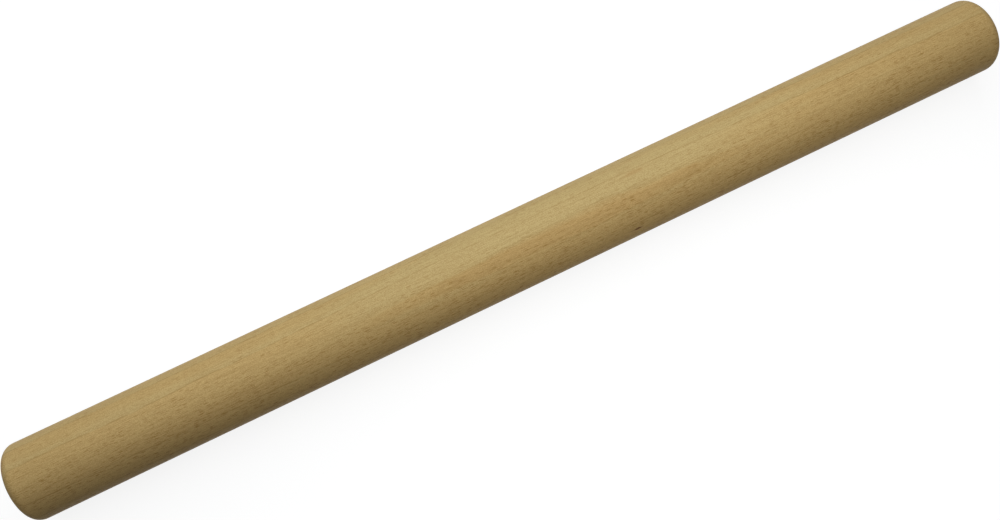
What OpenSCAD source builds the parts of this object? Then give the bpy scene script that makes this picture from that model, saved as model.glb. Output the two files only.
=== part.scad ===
// French rolling pin without handles, turned from one blank of beech.
// The pin lies along X on a flat worktop at Z = 0, with the middle of its length over the origin.

/* [Pin] */
// Length of the pin over its two end faces
pin_l = 500; // [320:5:700]
// Diameter of the straight side, which does the rolling
barrel_d = 37; // [32:0.5:60]

/* [Ends] */
// Radius of the sanded round between the side and the end face
end_round_r = 5; // [1:0.5:13]

/* [Hidden] */

barrel_r = barrel_d / 2;
half_l = pin_l / 2;
// Radius of the flat that the round leaves on the end face
face_r = barrel_r - end_round_r;
// Distance from the middle at which the round starts
round_x = half_l - end_round_r;

// Half section from the middle to one end: radius along X, distance from the middle along Y
module half_section() {
    polygon([
        [0, 0],
        [barrel_r, 0],
        [barrel_r, round_x],
        [face_r, round_x],
        [face_r, half_l],
        [0, half_l]
    ]);
    translate([face_r, round_x])
        end_round();
}

// Quarter disc that rounds the side over to the end face
module end_round() {
    intersection() {
        circle(r = end_round_r, $fn = 128);
        square(end_round_r);
    }
}

// The whole pin, turned about the X axis and laid on the worktop
module rolling_pin() {
    color("#b89c6a")
        translate([0, 0, barrel_r])
            rotate([0, 90, 0])
                rotate_extrude($fn = 128)
                    for (end = [0, 1])
                        mirror([0, end])
                            half_section();
}

rolling_pin();
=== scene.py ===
"""A straight beech rolling pin without handles, on a pale studio floor."""

import math

import bmesh
import bpy
from bpy.props import FloatProperty, FloatVectorProperty, IntProperty, PointerProperty
from mathutils import Euler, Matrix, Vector


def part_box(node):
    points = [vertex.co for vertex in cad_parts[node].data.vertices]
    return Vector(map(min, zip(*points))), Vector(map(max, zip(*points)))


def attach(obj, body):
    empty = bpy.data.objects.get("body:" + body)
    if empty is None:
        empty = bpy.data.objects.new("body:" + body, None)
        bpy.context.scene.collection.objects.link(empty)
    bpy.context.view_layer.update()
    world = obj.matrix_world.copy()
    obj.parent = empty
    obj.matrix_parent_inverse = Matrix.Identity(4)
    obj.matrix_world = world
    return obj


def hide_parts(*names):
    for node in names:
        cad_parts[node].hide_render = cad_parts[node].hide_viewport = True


bl_info = {
    "name": "French rolling pin",
    "version": (1, 0, 0),
    "blender": (4, 5, 0),
    "location": "3D View > Sidebar > Rolling pin",
    "description": "Turns a plain beech rolling pin and lays it on a pale studio floor",
    "category": "Add Mesh",
}

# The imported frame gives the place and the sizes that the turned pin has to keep
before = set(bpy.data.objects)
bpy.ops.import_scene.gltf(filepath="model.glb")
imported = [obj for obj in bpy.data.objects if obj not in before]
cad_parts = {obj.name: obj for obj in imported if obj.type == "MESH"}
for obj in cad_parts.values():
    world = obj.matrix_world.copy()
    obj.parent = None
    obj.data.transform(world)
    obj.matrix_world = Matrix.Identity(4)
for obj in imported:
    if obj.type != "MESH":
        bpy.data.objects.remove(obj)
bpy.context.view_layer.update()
PIN_LOW, PIN_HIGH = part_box("rolling_pin")
AXIS_HEIGHT = (PIN_LOW.z + PIN_HIGH.z) / 2

MM = 0.001

# Steps of the outline: round each end, and along half the side
ROUND_STEPS = 12
SIDE_CUTS = 9
# Vertices nearer to each other than this are one vertex
WELD = 0.001 * MM

FLOOR_RADIUS = 3.0

# The baked map holds the side as two strips, one above the other, and the end faces as discs above them
MAP_MARGIN = 0.01
STRIP_LENGTH = 0.98
STRIP_GAP = 0.004
DISC_RADIUS = 0.036
NEAR_DISC = Vector((0.05, 0.957))
FAR_DISC = Vector((0.15, 0.957))


# Sizes and colours that a user may change


class PinSizes(bpy.types.PropertyGroup):
    """Sizes of the turned pin"""

    length: FloatProperty(
        name="Length",
        description="Length over the two end faces",
        default=PIN_HIGH.x - PIN_LOW.x,
        unit="LENGTH",
    )
    radius: FloatProperty(
        name="Radius",
        description="Radius of the straight side",
        default=min(PIN_HIGH.y - PIN_LOW.y, PIN_HIGH.z - PIN_LOW.z) / 2,
        unit="LENGTH",
    )
    end_round: FloatProperty(
        name="End round",
        description="Radius of the sanded round between the side and the end face",
        default=5 * MM,
        unit="LENGTH",
    )
    sides: IntProperty(
        name="Sides",
        description="Steps of the full turn",
        default=144,
        min=24,
    )


class BeechFinish(bpy.types.PropertyGroup):
    """Colours and grain of the beech"""

    pale_wood: FloatVectorProperty(
        name="Pale wood",
        description="Colour of the wood that ends a year's growth",
        subtype="COLOR",
        size=4,
        default=(0.562, 0.426, 0.191, 1),
    )
    warm_wood: FloatVectorProperty(
        name="Warm wood",
        description="Colour of the wood that starts a year's growth",
        subtype="COLOR",
        size=4,
        default=(0.569, 0.391, 0.160, 1),
    )
    young_wood: FloatVectorProperty(
        name="Young wood",
        description="Redder colour of the last year's growth and of a small patch beside it",
        subtype="COLOR",
        size=4,
        default=(0.500, 0.285, 0.105, 1),
    )
    growth_line: FloatVectorProperty(
        name="Growth line",
        description="Colour of the thin line between two years",
        subtype="COLOR",
        size=4,
        default=(0.330, 0.200, 0.066, 1),
    )
    ray_wood: FloatVectorProperty(
        name="Rays",
        description="Colour of the rays, which show as fine dashes along the side",
        subtype="COLOR",
        size=4,
        default=(0.290, 0.154, 0.036, 1),
    )
    knot: FloatVectorProperty(
        name="Pin knot",
        description="Colour of the one small knot",
        subtype="COLOR",
        size=4,
        default=(0.120, 0.036, 0.013, 1),
    )
    pith_distance: FloatProperty(
        name="Distance from the pith",
        description="How far the pin's axis lay from the middle of the tree",
        default=95 * MM,
        unit="LENGTH",
    )
    bark_side: FloatProperty(
        name="Bark side",
        description="Direction of the bark about the pin's axis, counted from Y towards Z",
        default=math.radians(104.3),
        subtype="ANGLE",
    )
    year_width: FloatProperty(
        name="Year width",
        description="Usual width of one year's growth",
        default=3.82 * MM,
        unit="LENGTH",
    )
    line_depth: FloatProperty(
        name="Line depth",
        description="Distance of one growth line from the pin's axis towards the bark, near the ends",
        default=16.9 * MM,
        unit="LENGTH",
    )
    line_sag: FloatProperty(
        name="Line sag",
        description="How much nearer to the axis the growth lines lie at the middle of their bend",
        default=1.97 * MM,
        unit="LENGTH",
    )
    sag_middle: FloatProperty(
        name="Sag middle",
        description="Where along the pin the growth lines bend in the most",
        default=25 * MM,
        unit="LENGTH",
    )
    sag_reach: FloatProperty(
        name="Sag reach",
        description="How far the bend of the growth lines reaches along the pin",
        default=131 * MM,
        unit="LENGTH",
    )
    roughness: FloatProperty(
        name="Roughness",
        description="Roughness of the sanded surface",
        default=0.5,
        subtype="FACTOR",
    )


class StudioSettings(bpy.types.PropertyGroup):
    """Camera and light"""

    focal_length: FloatProperty(
        name="Focal length",
        description="Focal length on a sensor 36 mm wide, in millimetres",
        default=34.2,
    )
    azimuth: FloatProperty(
        name="Azimuth",
        description="Turn of the camera about the vertical, from looking along Y",
        default=math.radians(-25.92),
        subtype="ANGLE",
    )
    elevation: FloatProperty(
        name="Elevation",
        description="Height of the camera above the horizon",
        default=math.radians(76.96),
        subtype="ANGLE",
    )
    distance: FloatProperty(
        name="Distance",
        description="Distance of the camera from the middle of the pin, along its view",
        default=447.2 * MM,
        unit="LENGTH",
    )
    right_of_centre: FloatProperty(
        name="Right of centre",
        description="How far the middle of the pin lies to the right of the picture's centre",
        default=11.75 * MM,
        unit="LENGTH",
    )
    above_centre: FloatProperty(
        name="Above centre",
        description="How far the middle of the pin lies above the picture's centre",
        default=6.3 * MM,
        unit="LENGTH",
    )
    key_power: FloatProperty(
        name="Key power",
        description="Power of the soft lamp overhead",
        default=3.27,
        unit="POWER",
    )
    key_colour: FloatVectorProperty(
        name="Key colour",
        description="Colour of the soft lamp overhead, a little cool",
        subtype="COLOR",
        default=(0.93, 0.97, 1.0),
    )
    key_size: FloatProperty(
        name="Key size",
        description="Side of the soft lamp overhead",
        default=0.76,
        unit="LENGTH",
    )
    key_distance: FloatProperty(
        name="Key distance",
        description="Distance of the soft lamp overhead from the pin's axis",
        default=0.475,
        unit="LENGTH",
    )
    key_angle: FloatProperty(
        name="Key angle",
        description="Direction of the lamp overhead about the pin's axis, counted from Y towards Z",
        default=math.radians(57),
        subtype="ANGLE",
    )
    key_along: FloatProperty(
        name="Key along",
        description="Where along the pin the lamp overhead hangs",
        default=-0.02,
        unit="LENGTH",
    )
    fill_power: FloatProperty(
        name="Fill power",
        description="Power of the weak lamp in front",
        default=0.18,
        unit="POWER",
    )
    fill_colour: FloatVectorProperty(
        name="Fill colour",
        description="Colour of the weak lamp in front, a little warm",
        subtype="COLOR",
        default=(0.99, 0.97, 0.90),
    )
    fill_size: FloatProperty(
        name="Fill size",
        description="Side of the weak lamp in front",
        default=0.33,
        unit="LENGTH",
    )
    fill_distance: FloatProperty(
        name="Fill distance",
        description="Distance of the weak lamp in front from the pin's axis",
        default=0.2,
        unit="LENGTH",
    )
    fill_angle: FloatProperty(
        name="Fill angle",
        description="Direction of the lamp in front about the pin's axis, counted from Y towards Z",
        default=math.radians(124.5),
        subtype="ANGLE",
    )
    fill_along: FloatProperty(
        name="Fill along",
        description="Where along the pin the lamp in front stands",
        default=0.078,
        unit="LENGTH",
    )
    ambient: FloatProperty(
        name="Ambient light",
        description="Strength of the even light from all round",
        default=0.1,
    )


# Node building


class Wire:
    """A socket in a node tree that takes part in sums as a number does."""

    def __init__(self, tree, socket=None):
        self.tree = tree
        self.socket = socket

    def node(self, kind, settings=None, sockets=None, output=0):
        """Add a node: its settings are set first, then its sockets get numbers or wires."""
        made = self.tree.nodes.new(kind)
        for name, value in (settings or {}).items():
            setattr(made, name, value)
        for key, value in (sockets or {}).items():
            if isinstance(value, Wire):
                self.tree.links.new(value.socket, made.inputs[key])
            else:
                made.inputs[key].default_value = value
        return Wire(self.tree, made.outputs[output] if len(made.outputs) else None)

    def outputs(self, *names):
        """Give more outputs of the node that this wire comes from."""
        return [Wire(self.tree, self.socket.node.outputs[name]) for name in names]

    def maths(self, operation, *values):
        """Add a Math node on any numbers or wires."""
        return self.node("ShaderNodeMath", {"operation": operation}, dict(enumerate(values)))

    def __add__(self, other):
        return self.maths("ADD", self, other)

    __radd__ = __add__

    def __sub__(self, other):
        return self.maths("SUBTRACT", self, other)

    def __rsub__(self, other):
        return self.maths("SUBTRACT", other, self)

    def __mul__(self, other):
        return self.maths("MULTIPLY", self, other)

    __rmul__ = __mul__

    def __truediv__(self, other):
        return self.maths("DIVIDE", self, other)


def blank_tree(owner):
    """Give an empty node tree to a material or a world, and the wire that its nodes start from."""
    owner.use_nodes = True
    owner.node_tree.nodes.clear()
    return Wire(owner.node_tree)


def ease(value, low, high, start=0.0, end=1.0):
    """Go smoothly from start to end while value goes from low to high."""
    return value.node(
        "ShaderNodeMapRange",
        {"interpolation_type": "SMOOTHSTEP"},
        {"Value": value, "From Min": low, "From Max": high, "To Min": start, "To Max": end},
    )


def point(x, y, z):
    """Make a place from three wires."""
    return x.node("ShaderNodeCombineXYZ", None, {0: x, 1: y, 2: z})


def noise(place, size, detail=2.0, grain=0.5):
    """Give even noise about 0, with features of the given size on each axis of place."""
    scaled = place.node("ShaderNodeVectorMath", {"operation": "DIVIDE"}, {0: place, 1: size})
    made = place.node(
        "ShaderNodeTexNoise",
        {"noise_dimensions": "3D", "normalize": True},
        {"Vector": scaled, "Scale": 1.0, "Detail": detail, "Roughness": grain},
    )
    return made - 0.5


def blend(factor, under, over):
    """Mix two colours."""
    return factor.node(
        "ShaderNodeMix",
        {"data_type": "RGBA", "clamp_factor": True},
        {0: factor, 6: under, 7: over},
        output=2,
    )


# The beech, as a solid block that the pin is cut from. Its lengths are in millimetres.


class Block:
    """Places in the block: along the grain, out towards the bark, and across."""

    def __init__(self, start, finish):
        place = start.node("ShaderNodeTexCoord", output=3)
        self.place = start.node(
            "ShaderNodeMapping",
            {"vector_type": "TEXTURE"},
            {
                "Vector": place,
                "Location": (0, 0, AXIS_HEIGHT),
                "Rotation": (finish.bark_side, 0, 0),
                "Scale": (MM, MM, MM),
            },
        )
        parts = start.node("ShaderNodeSeparateXYZ", None, {0: self.place})
        self.along, self.out, self.across = parts.outputs("X", "Y", "Z")
        # The grain isn't quite true to the axis and wanders a little
        sway = noise(self.place, (120, 60, 60), detail=1)
        pith = finish.pith_distance / MM
        out = self.out + pith
        across = self.across + 0.008 * self.along + 3 * sway
        self.radius = start.maths("SQRT", out * out + across * across) - pith
        self.turn = start.maths("ARCTAN2", across, out) * pith


def years(block, finish):
    """Count the years of growth towards the bark. A growth line lies at each whole number."""
    offset = (block.along - finish.sag_middle / MM) / (finish.sag_reach / MM)
    bend = offset.maths("EXPONENT", 0 - offset * offset)
    wobble = noise(block.place, (26, 7, 7), detail=3) + 0.35 * noise(block.place, (9, 3, 3), detail=2)
    depth = block.radius - finish.line_depth / MM + bend * (finish.line_sag / MM) + wobble
    # Wide years and narrow ones take turns, once every 20 mm
    swing = depth.maths("COSINE", depth * (2 * math.pi / 20))
    return depth / (finish.year_width / MM) + 0.39 * (1 - swing)


def rays(block, shift, height, spacing, depth, reach):
    """Give thin plates that run out from the pith. The pin's side cuts them into dashes."""
    cells = point((block.along + shift) / height, block.turn / spacing, block.radius / depth)
    settings = {"voronoi_dimensions": "3D", "feature": "F1", "distance": "EUCLIDEAN"}
    gap = cells.node("ShaderNodeTexVoronoi", settings, {"Vector": cells, "Scale": 1.0})
    chance = gap.node("ShaderNodeSeparateColor", None, {0: gap.outputs("Color")[0]})
    return ease(gap, reach * 0.4, reach, 1, 0) * chance


def spot(block, along, angle, half_length, half_width):
    """Give a small long spot on the pin's side, at an angle in degrees from the bark side."""
    radius = (PIN_HIGH.z - PIN_LOW.z) / 2 / MM
    turn = math.radians(angle)
    middle = (along, radius * math.cos(turn), radius * math.sin(turn))
    size = Vector((half_length, half_width, half_width))
    ragged = noise(block.place, size * 0.67, detail=2)
    offset = block.place.node(
        "ShaderNodeVectorMath",
        {"operation": "SUBTRACT"},
        {0: block.place, 1: middle},
    )
    offset = offset.node("ShaderNodeVectorMath", {"operation": "DIVIDE"}, {0: offset, 1: size})
    reach = offset.node("ShaderNodeVectorMath", {"operation": "LENGTH"}, {0: offset}, output=1)
    return ease(reach + 0.9 * ragged, 0.45, 1.05, 1, 0)


def warmth_and_sheen_of(block, through):
    """Give how warm the wood is, with a painted sheen and a painted highlight that make it paler on the
    lit top. Each year starts warm and ends pale.
    """
    cloud = noise(block.place, (60, 7, 7), detail=3)
    # The share across paints the wood paler towards the lit top and warmer towards the shaded lower
    # front: painted sheen
    warmth_and_sheen = ease(through + 0.9 * cloud - 0.02 * block.across, 0.45, 1.25, 1, 0.35)
    # Behind the middle a pale patch is painted highlight, where the lamp overhead shines, and the wood
    # keeps its warmth along the top
    painted_highlight = spot(block, along=15, angle=-38, half_length=150, half_width=13)
    mellow = spot(block, along=20, angle=3, half_length=170, half_width=4.7)
    warmth_and_sheen = warmth_and_sheen * (1 - 0.9 * painted_highlight)
    return warmth_and_sheen.maths("MAXIMUM", warmth_and_sheen, mellow)


def growth_lines(block, year, through):
    """Give the thin dark line that closes each year, and that fades here and there."""
    line = ease(through, 0.91, 0.98) * ease(year, 0.2, 0.6, 1, 0.4)
    fade = ease(noise(block.place, (10, 5, 5), detail=3), -0.12, 0.14, 0.25, 1)
    return line * fade


def crowded_and_shaded_rays(block):
    """Give the large and the small rays, which crowd here and there, and which are painted stronger
    towards the shaded lower front as painted shade.
    """
    crowd_and_shade = ease(noise(block.place, (30, 6, 6), detail=2), -0.20, 0.20, 0.55, 1.2)
    # Painted shade: the dashes grow stronger towards the lower front, away from the lamp overhead
    crowd_and_shade = crowd_and_shade * ease(block.across, -14, 14, 0.7, 1.5)
    large = rays(block, shift=0, height=8.0, spacing=0.34, depth=12, reach=0.30)
    small = rays(block, shift=913, height=4.2, spacing=0.26, depth=6, reach=0.38)
    return large * crowd_and_shade, small * crowd_and_shade


def marks(block):
    """Give the marks that only this blank has, as three shares: redder wood, darker wood and knot."""
    # A blush towards the left end, and a small warm patch with a soft stain beside it
    blush = spot(block, along=-180, angle=22, half_length=90, half_width=6)
    patch = spot(block, along=58, angle=-34, half_length=6.5, half_width=1.6)
    stain = spot(block, along=55, angle=-45.5, half_length=6.5, half_width=2.6)
    # The darker tip of the last year's growth
    tip = spot(block, along=-36.5, angle=1.4, half_length=5.5, half_width=2.2)
    # One pin knot low on the front, in a faint halo
    halo = spot(block, along=49.3, angle=51, half_length=5, half_width=1)
    knot = spot(block, along=50, angle=51, half_length=2, half_width=0.85)
    redder = 0.10 * blush + 0.30 * patch
    darker = 0.14 * (patch + stain + tip)
    return redder, darker, 0.28 * halo + 0.55 * knot


def end_grain(block, sizes):
    """Give 0 on the straight side and 1 on the end faces."""
    straight = (sizes.length / 2 - sizes.end_round) / MM
    depth = block.along.maths("ABSOLUTE", block.along) - straight
    return ease(depth / (sizes.end_round / MM), 0.1, 1.0)


def beech_material(sizes, finish):
    """Build sanded beech as a solid block: years of growth, rays, fibres, pores and one knot."""
    material = bpy.data.materials.new("beech")
    start = blank_tree(material)
    block = Block(start, finish)

    year = years(block, finish)
    through = year.maths("FRACT", year)
    warmth_and_sheen = warmth_and_sheen_of(block, through)
    young = ease(year, 1.0, 1.04)
    redder, darker, knot = marks(block)
    colour = blend(warmth_and_sheen, finish.pale_wood[:], finish.warm_wood[:])
    colour = blend(0.17 * young + redder, colour, finish.young_wood[:])
    colour = blend(0.04 * young + darker, colour, finish.growth_line[:])
    colour = blend(0.52 * growth_lines(block, year, through), colour, finish.ray_wood[:])

    # Long fibres and short pores lie under the rays, and the knot covers them all
    fibres = noise(block.place, (22, 0.38, 0.38), detail=1, grain=0.6)
    pores = noise(block.place, (0.45, 0.34, 0.34), detail=1, grain=0.6)
    grain = ease(1.25 * fibres + 2.5 * pores, -0.50, 0.50)
    large_rays, small_rays = crowded_and_shaded_rays(block)
    colour = blend(0.50 * grain, colour, finish.growth_line[:])
    colour = blend(small_rays * (0.78 + 0.46 * warmth_and_sheen), colour, finish.ray_wood[:])
    colour = blend(large_rays * (0.55 + 0.35 * warmth_and_sheen), colour, finish.ray_wood[:])
    colour = blend(knot, colour, finish.knot[:])

    # End grain drinks the light, so it is darker from the round on
    end = end_grain(block, sizes)
    colour = blend(0.28 * end, colour, finish.growth_line[:])

    roughness = finish.roughness + 0.12 * fibres - 0.08 * large_rays + 0.12 * end
    relief = 0.5 * fibres + 1.5 * pores - 0.4 * large_rays - 0.3 * small_rays
    bump = relief.node(
        "ShaderNodeBump",
        None,
        {"Strength": 0.35, "Distance": 0.12 * MM, "Height": relief},
    )
    # Only a trace of gloss, or the white studio would veil the colour of the wood
    surface = start.node(
        "ShaderNodeBsdfPrincipled",
        None,
        {
            "Base Color": colour,
            "Roughness": roughness,
            "Normal": bump,
            "IOR": 1.45,
            "Specular IOR Level": 0.06,
        },
    )
    start.node("ShaderNodeOutputMaterial", None, {"Surface": surface})
    return material


# The pin


def add_object(scene, name, data):
    """Link a new object to the scene."""
    added = bpy.data.objects.new(name, data)
    scene.collection.objects.link(added)
    return added


def lay_out_map(shape, sizes):
    """Unroll each half of the side into its strip of the map, and put each end face in its disc."""
    layer = shape.loops.layers.uv.new("OFBake")
    straight = sizes.length / 2 - sizes.end_round
    scale = STRIP_LENGTH / (straight + sizes.end_round * math.pi / 2)
    disc_scale = DISC_RADIUS / (sizes.radius - sizes.end_round)
    strip_width = 2 * math.pi * sizes.radius * scale
    for face in shape.faces:
        middle = face.calc_center_median()
        far = middle.x > 0
        if abs(face.normal.x) > 0.999:
            for loop in face.loops:
                loop[layer].uv = loop.vert.co.yz * disc_scale + (FAR_DISC if far else NEAR_DISC)
            continue
        strip_start = 2 * STRIP_GAP + strip_width if far else STRIP_GAP
        middle_turn = math.atan2(middle.y, middle.z)
        for loop in face.loops:
            along = abs(loop.vert.co.x)
            if along > straight:
                rise = min(1, (along - straight) / sizes.end_round)
                along = straight + sizes.end_round * math.asin(rise)
            turn = math.atan2(loop.vert.co.y, loop.vert.co.z) - middle_turn
            turn = middle_turn + math.remainder(turn, 2 * math.pi)
            across = (turn / (2 * math.pi) + 0.5) * strip_width
            loop[layer].uv = (MAP_MARGIN + along * scale, strip_start + across)


def turned_mesh(sizes):
    """Draw half the outline, mirror it and spin it about the pin's axis."""
    half = sizes.length / 2
    round_x = half - sizes.end_round
    face_radius = sizes.radius - sizes.end_round

    shape = bmesh.new()
    pole = shape.verts.new((half, 0, 0))
    rim = shape.verts.new((half, 0, face_radius))
    shape.edges.new((pole, rim))
    corner = bmesh.ops.spin(
        shape,
        geom=[rim],
        cent=(round_x, 0, face_radius),
        axis=(0, 1, 0),
        angle=-math.pi / 2,
        steps=ROUND_STEPS,
    )
    shoulder = next(v for v in corner["geom_last"] if isinstance(v, bmesh.types.BMVert))
    middle = shape.verts.new((0, 0, sizes.radius))
    side = shape.edges.new((shoulder, middle))
    bmesh.ops.subdivide_edges(shape, edges=[side], cuts=SIDE_CUTS)
    bmesh.ops.mirror(shape, geom=shape.verts[:] + shape.edges[:], axis="X", merge_dist=WELD)
    bmesh.ops.spin(
        shape,
        geom=shape.verts[:] + shape.edges[:],
        cent=(0, 0, 0),
        axis=(1, 0, 0),
        angle=2 * math.pi,
        steps=sizes.sides,
        use_merge=True,
    )
    bmesh.ops.remove_doubles(shape, verts=shape.verts[:], dist=WELD)
    bmesh.ops.recalc_face_normals(shape, faces=shape.faces[:])
    lay_out_map(shape, sizes)
    bmesh.ops.translate(shape, verts=shape.verts[:], vec=(0, 0, AXIS_HEIGHT))
    for face in shape.faces:
        face.smooth = True
    mesh = bpy.data.meshes.new("turned_pin")
    shape.to_mesh(mesh)
    shape.free()
    return mesh


class ROLLING_PIN_OT_turn(bpy.types.Operator):
    """Turn the pin from one beech blank"""

    bl_idname = "rolling_pin.turn"
    bl_label = "Turn the pin"

    def execute(self, context):
        sizes = context.scene.pin_sizes
        mesh = turned_mesh(sizes)
        if not mesh.polygons:
            raise RuntimeError("the pin has no faces")
        mesh.materials.append(beech_material(sizes, context.scene.beech_finish))
        pin = add_object(context.scene, "turned_pin", mesh)
        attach(pin, "root")
        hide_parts("rolling_pin")
        return {"FINISHED"}


# Floor, light and camera


def seen_directly(start):
    """Give 1 to rays that show a background: from the camera, off gloss and through glass."""
    path = start.node("ShaderNodeLightPath")
    camera, glossy, through = path.outputs("Is Camera Ray", "Is Glossy Ray", "Is Transmission Ray")
    return start.maths("MAXIMUM", camera, start.maths("MAXIMUM", glossy, through))


def floor_material():
    """Build a white floor that keeps the pin's soft shadow and throws little light back up."""
    material = bpy.data.materials.new("studio_floor")
    start = blank_tree(material)
    # Round the pin most of the white is glow, and the rest is a surface that takes the shadow
    glow = start.node("ShaderNodeEmission", None, {"Color": (1, 1, 1, 1), "Strength": 0.87})
    shaded = start.node("ShaderNodeBsdfDiffuse", None, {"Color": (0.20, 0.20, 0.20, 1)})
    near = start.node("ShaderNodeAddShader", None, {0: glow, 1: shaded})
    far = start.node("ShaderNodeEmission", None, {"Color": (1, 1, 1, 1), "Strength": 1.0})
    place = start.node("ShaderNodeTexCoord", output=3)
    distance = start.node("ShaderNodeVectorMath", {"operation": "LENGTH"}, {0: place}, output=1)
    pale = start.node("ShaderNodeMixShader", None, {0: ease(distance, 0.28, 0.45), 1: near, 2: far})
    # All other rays meet dark grey, so that little light comes back up
    grey = start.node("ShaderNodeBsdfDiffuse", None, {"Color": (0.12, 0.12, 0.12, 1)})
    surface = start.node("ShaderNodeMixShader", None, {0: seen_directly(start), 1: grey, 2: pale})
    start.node("ShaderNodeOutputMaterial", None, {"Surface": surface})
    return material


def lay_floor(scene):
    """Lay a round floor under the pin."""
    shape = bmesh.new()
    bmesh.ops.create_circle(shape, cap_ends=True, radius=FLOOR_RADIUS, segments=96)
    mesh = bpy.data.meshes.new("studio_floor")
    shape.to_mesh(mesh)
    shape.free()
    mesh.materials.append(floor_material())
    add_object(scene, "studio_floor", mesh)


def hang_lamp(scene, name, power, colour, size, distance, angle, along):
    """Hang a square lamp that shines on the pin's axis and isn't seen itself."""
    lamp = bpy.data.lights.new(name, "AREA")
    lamp.shape = "SQUARE"
    lamp.size = size
    lamp.energy = power
    lamp.color = colour
    holder = add_object(scene, name, lamp)
    away = Vector((0, math.cos(angle), math.sin(angle)))
    holder.location = Vector((along, 0, AXIS_HEIGHT)) + away * distance
    holder.rotation_euler = away.to_track_quat("Z", "Y").to_euler()
    holder.visible_camera = False


def hang_lights(scene, studio):
    """Hang the two lamps and fill the world with even light."""
    settings = ("power", "colour", "size", "distance", "angle", "along")
    for name in ("key", "fill"):
        hang_lamp(scene, name, *(getattr(studio, f"{name}_{setting}") for setting in settings))

    world = bpy.data.worlds.new("studio")
    start = blank_tree(world)
    strength = ease(seen_directly(start), 0, 1, studio.ambient, 1.0)
    light = start.node("ShaderNodeBackground", None, {"Color": (1, 1, 1, 1), "Strength": strength})
    start.node("ShaderNodeOutputWorld", None, {"Surface": light})
    scene.world = world


def set_camera(scene, studio):
    """Put the camera where the photograph was taken from."""
    turn = Euler((math.pi / 2 - studio.elevation, 0, studio.azimuth)).to_matrix()
    right, up, back = turn.col
    lens = bpy.data.cameras.new("camera")
    lens.sensor_width = 36
    lens.lens = studio.focal_length
    camera = add_object(scene, "camera", lens)
    middle = Vector((0, 0, AXIS_HEIGHT)) - right * studio.right_of_centre - up * studio.above_centre
    camera.location = middle + back * studio.distance
    camera.rotation_euler = turn.to_euler()
    scene.camera = camera


class ROLLING_PIN_OT_stage(bpy.types.Operator):
    """Lay the floor, hang the light and set the camera"""

    bl_idname = "rolling_pin.stage"
    bl_label = "Set the stage"

    def execute(self, context):
        scene = context.scene
        lay_floor(scene)
        hang_lights(scene, scene.studio)
        set_camera(scene, scene.studio)
        scene.view_settings.view_transform = "Standard"
        return {"FINISHED"}


class ROLLING_PIN_PT_panel(bpy.types.Panel):
    """Buttons and sizes of the rolling pin"""

    bl_idname = "ROLLING_PIN_PT_panel"
    bl_label = "Rolling pin"
    bl_space_type = "VIEW_3D"
    bl_region_type = "UI"
    bl_category = "Rolling pin"

    def draw(self, context):
        scene = context.scene
        for operator, groups in (
            (ROLLING_PIN_OT_turn, (scene.pin_sizes, scene.beech_finish)),
            (ROLLING_PIN_OT_stage, (scene.studio,)),
        ):
            self.layout.operator(operator.bl_idname)
            for group in groups:
                for name in group.__annotations__:
                    self.layout.prop(group, name)


CLASSES = (
    PinSizes,
    BeechFinish,
    StudioSettings,
    ROLLING_PIN_OT_turn,
    ROLLING_PIN_OT_stage,
    ROLLING_PIN_PT_panel,
)


def register():
    for cls in CLASSES:
        bpy.utils.register_class(cls)
    bpy.types.Scene.pin_sizes = PointerProperty(type=PinSizes)
    bpy.types.Scene.beech_finish = PointerProperty(type=BeechFinish)
    bpy.types.Scene.studio = PointerProperty(type=StudioSettings)


def unregister():
    for name in ("studio", "beech_finish", "pin_sizes"):
        delattr(bpy.types.Scene, name)
    for cls in reversed(CLASSES):
        bpy.utils.unregister_class(cls)


def main():
    register()
    bpy.ops.rolling_pin.turn()
    bpy.ops.rolling_pin.stage()


if __name__ == "__main__":
    main()
